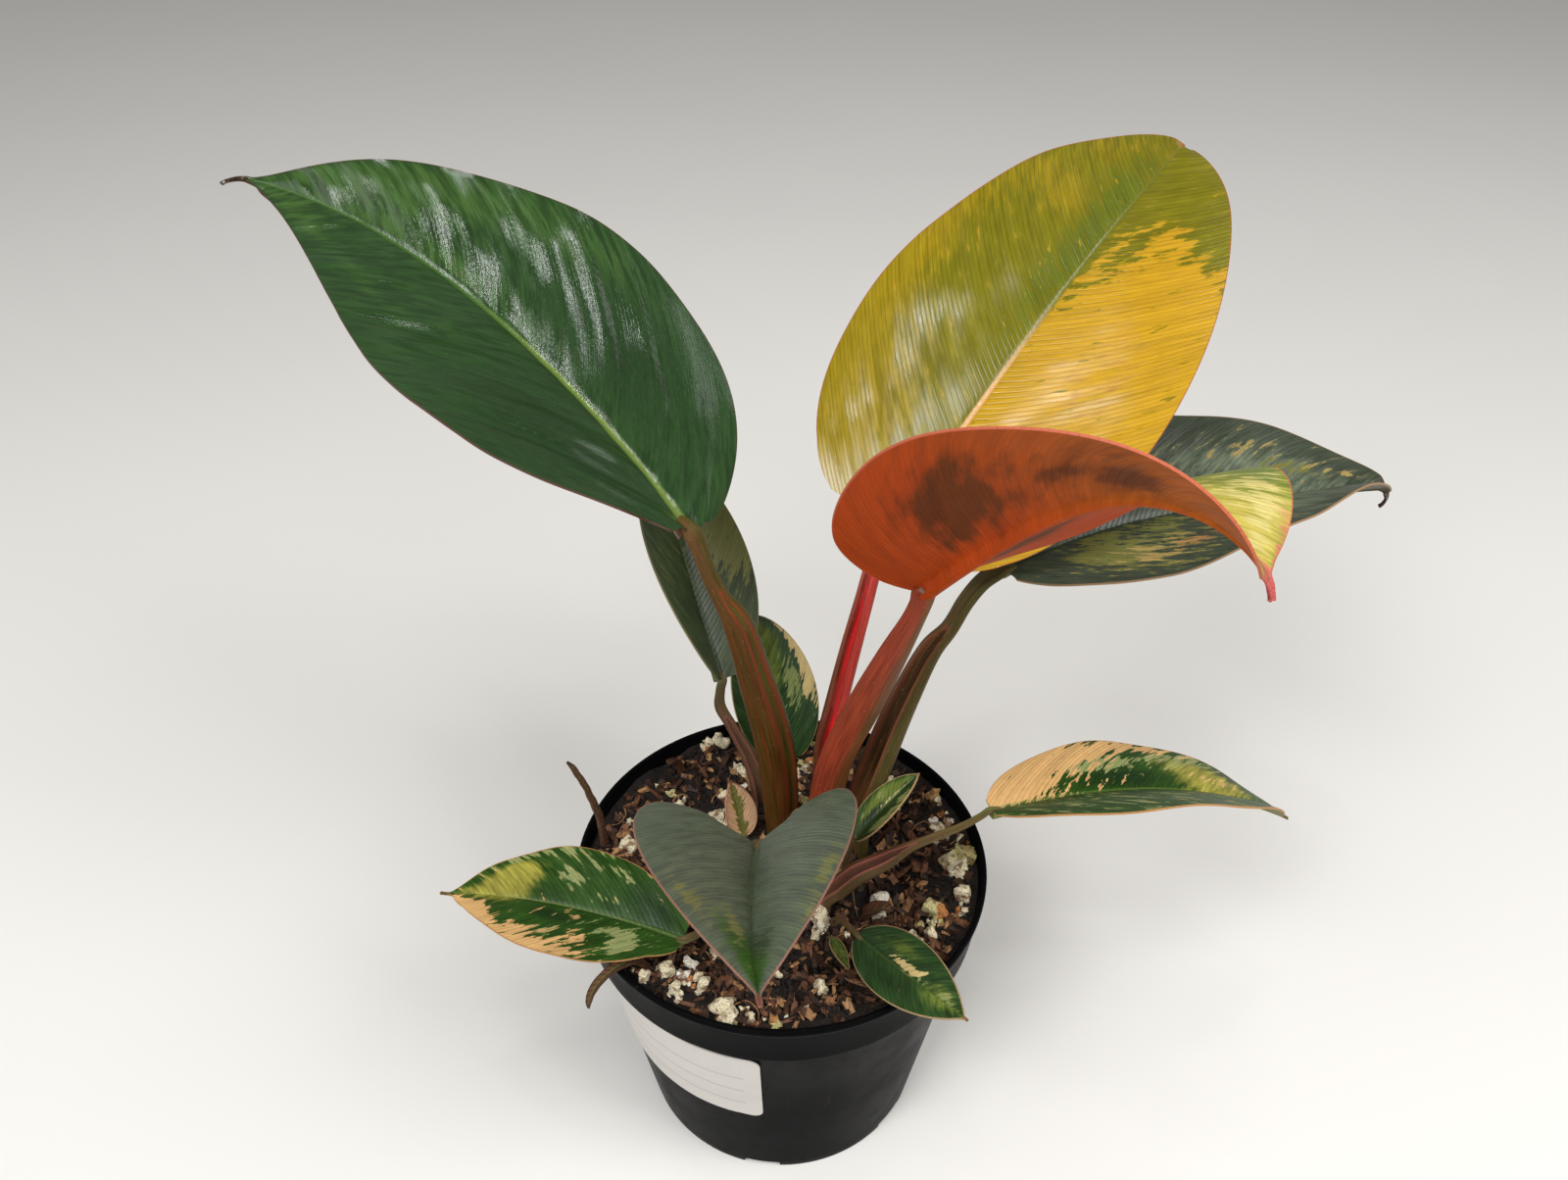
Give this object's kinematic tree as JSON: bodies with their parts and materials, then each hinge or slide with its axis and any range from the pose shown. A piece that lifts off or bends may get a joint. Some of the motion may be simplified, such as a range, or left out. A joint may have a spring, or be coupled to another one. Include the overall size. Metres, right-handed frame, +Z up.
{
  "type": "potted variegated red congo philodendron",
  "caption": "Young red congo philodendron with variegated green, yellow and orange leaves, growing in soil in a round black nursery pot with a plain white label.",
  "frame": {"origin": "centre of the pot's flat foot", "axes": "+Z up along the pot's axis, +X to the right and -Y towards the viewer, seen from the side that the label is on"},
  "size_m": [0.2843, 0.1839, 0.2471],
  "materials": {
    "leaf_green": "glossy dark green leaf with marbled cream patches",
    "leaf_yellow": "glossy yellow-green leaf with fine dark veins",
    "leaf_orange": "satin burnt orange leaf underside",
    "leaf_pink": "satin pink striped bud leaf",
    "stalk_olive": "satin olive brown leaf stalk",
    "stalk_red": "satin red leaf stalk",
    "stalk_mauve": "satin mauve leaf stalk",
    "crown_brown": "rough brown stem",
    "dry_brown": "dry brown leaf sheath",
    "soil_dark": "moist bark and perlite potting mix",
    "pot_black": "satin moulded plastic",
    "label_white": "satin coated paper"
  },
  "bodies": {
    "root": {"blade_back": "leaf_yellow", "blade_behind": "leaf_green", "blade_behind_left": "leaf_green", "blade_bud": "leaf_pink", "blade_front": "leaf_orange", "blade_heart": "leaf_green", "blade_left": "leaf_green", "blade_low_left": "leaf_green", "blade_low_right": "leaf_green", "blade_right": "leaf_green", "blade_seedling": "leaf_green", "blade_small_front": "leaf_green", "blade_small_right": "leaf_green", "crown": "crown_brown", "dry_scale_back": "dry_brown", "dry_scale_centre": "dry_brown", "dry_scale_front": "dry_brown", "dry_scale_left": "dry_brown", "label": "label_white", "pot": "pot_black", "soil": "soil_dark", "stalk_back": "stalk_red", "stalk_behind": "stalk_olive", "stalk_behind_left": "stalk_mauve", "stalk_bud": "stalk_mauve", "stalk_front": "stalk_red", "stalk_heart": "stalk_olive", "stalk_left": "stalk_olive", "stalk_low_left": "stalk_olive", "stalk_low_right": "stalk_olive", "stalk_right": "stalk_olive", "stalk_seedling": "stalk_olive", "stalk_small_front": "stalk_olive", "stalk_small_right": "stalk_olive"}
  },
  "joints": []
}
